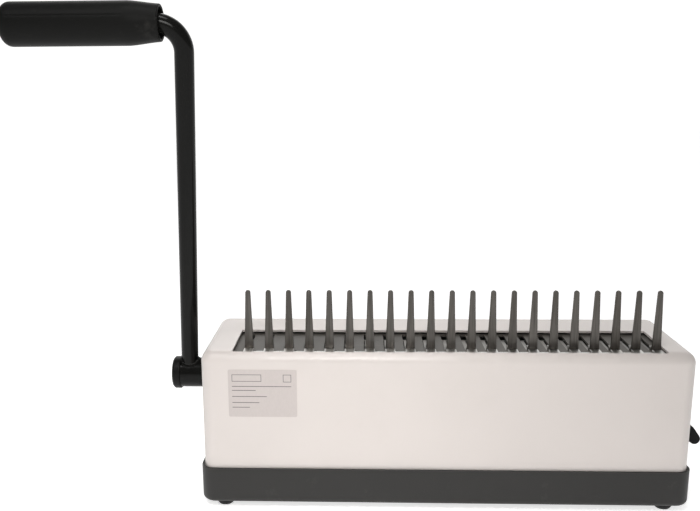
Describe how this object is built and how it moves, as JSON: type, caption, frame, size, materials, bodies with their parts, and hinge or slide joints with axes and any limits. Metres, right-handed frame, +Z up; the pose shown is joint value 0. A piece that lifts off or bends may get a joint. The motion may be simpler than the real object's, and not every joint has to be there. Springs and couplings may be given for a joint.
{
  "type": "comb binding machine",
  "caption": "Manual comb binding machine: side-handled punch in a steel case on a plastic base, with a tined comb opener on top.",
  "frame": {"origin": "on the desk, under the middle of the machine's overall box (handle included)", "axes": "+X to the operator's right (handle side), +Y to the rear, +Z up"},
  "size_m": [0.4663, 0.2428, 0.3476],
  "materials": {
    "case_paint": "fine textured off-white powder coat, satin",
    "base_plastic": "charcoal moulded ABS with a fine grain",
    "table_plastic": "charcoal moulded ABS, smooth satin",
    "foot_rubber": "moulded black rubber",
    "frame_steel": "zinc-plated pressed sheet",
    "opener_paint": "dark grey baked enamel",
    "tine_steel": "dark brushed steel, polished tips",
    "hook_steel": "brushed steel, dulled",
    "rail_steel": "bright brushed steel",
    "die_steel": "ground tool steel, oiled",
    "gear_steel": "sintered steel, oiled",
    "bronze": "sintered bronze",
    "arm_paint": "gloss black enamel",
    "grip_plastic": "matt black moulded plastic",
    "trim_plastic": "satin black moulded plastic",
    "acetal": "natural acetal",
    "screw_zinc": "bright zinc plate",
    "spring_steel": "oiled spring wire",
    "label_paper": null
  },
  "bodies": {
    "machine_frame": {"base_tray": "base_plastic", "rubber_feet": "foot_rubber", "foot_screws": "screw_zinc", "chassis_plate": "frame_steel", "side_plate_left": "frame_steel", "side_plate_right": "frame_steel", "frame_screws": "screw_zinc", "case_cover": "case_paint", "rear_label": "label_paper", "opener_plate": "opener_paint", "opener_screws": "screw_zinc", "comb_rest_rail": "rail_steel", "tine_comb": "tine_steel", "guide_studs": "opener_paint", "die_lower": "die_steel", "die_upper": "die_steel", "die_screws": "screw_zinc", "rack_guides": "acetal", "tie_bar": "frame_steel", "return_springs": "spring_steel", "shaft_bushes": "bronze", "torsion_spring": "spring_steel", "paper_table": "table_plastic", "throat_lip": "trim_plastic"},
    "handle": {"main_shaft": "die_steel", "shaft_clip": "spring_steel", "punch_pinions": "gear_steel", "hook_pinions": "gear_steel", "pinion_pins": "die_steel", "crank_sleeve": "arm_paint", "hub_cap": "trim_plastic", "handle_arm": "arm_paint", "grip": "grip_plastic"},
    "punch": {"punch_bar": "die_steel", "punch_pins": "die_steel", "pin_keeper": "frame_steel", "punch_racks": "gear_steel", "bar_screws": "screw_zinc"},
    "opener_slide": {"hook_plate": "hook_steel", "hook_racks": "gear_steel"},
    "margin_selector": {"margin_lever": "trim_plastic", "lever_clip": "spring_steel"},
    "margin_bar": {"margin_stop": "frame_steel"},
    "sheet_guide": {"edge_guide": "trim_plastic", "guide_nut": "screw_zinc"},
    "clamp_knob": {"guide_knob": "trim_plastic"},
    "drawer": {"chip_drawer": "base_plastic"}
  },
  "joints": [
    {"name": "handle_pivot", "type": "hinge", "parent": "machine_frame", "child": "handle", "pos_m": [-0.05235, 0.04162, 0.087], "axis": [1, 0, 0], "range_deg": [0, 105], "stiffness_Nm_per_rad": 0.6, "springref_deg": -34.38},
    {"name": "punch_stroke", "type": "slide", "parent": "machine_frame", "child": "punch", "axis": [0, 0, -1], "range_m": [0, 0.015], "deforming": ["return_springs"]},
    {"name": "comb_opening", "type": "slide", "parent": "machine_frame", "child": "opener_slide", "axis": [0, -1, 0], "range_m": [0, 0.0196]},
    {"name": "margin_turn", "type": "hinge", "parent": "machine_frame", "child": "margin_selector", "pos_m": [-0.05235, 0.06062, 0.0528], "axis": [1, 0, 0], "range_deg": [-30, 30]},
    {"name": "margin_shift", "type": "slide", "parent": "machine_frame", "child": "margin_bar", "axis": [0, -1, 0], "range_m": [-0.00126, 0.00126]},
    {"name": "guide_shift", "type": "slide", "parent": "machine_frame", "child": "sheet_guide", "axis": [1, 0, 0], "range_m": [-0.002, 0.018]},
    {"name": "knob_turn", "type": "hinge", "parent": "sheet_guide", "child": "clamp_knob", "pos_m": [-0.20915, -0.04938, 0.0414], "axis": [0, 0, 1], "range_deg": [0, 90]},
    {"name": "drawer_pull", "type": "slide", "parent": "machine_frame", "child": "drawer", "axis": [-1, 0, 0], "range_m": [0, 0.2]}
  ],
  "couplings": [
    {"joint": "punch_stroke", "follows": "handle_pivot", "m_per_rad": 0.008125},
    {"joint": "comb_opening", "follows": "handle_pivot", "m_per_rad": 0.010625},
    {"joint": "margin_turn", "follows": "margin_shift", "rad_per_m": 344.15}
  ]
}
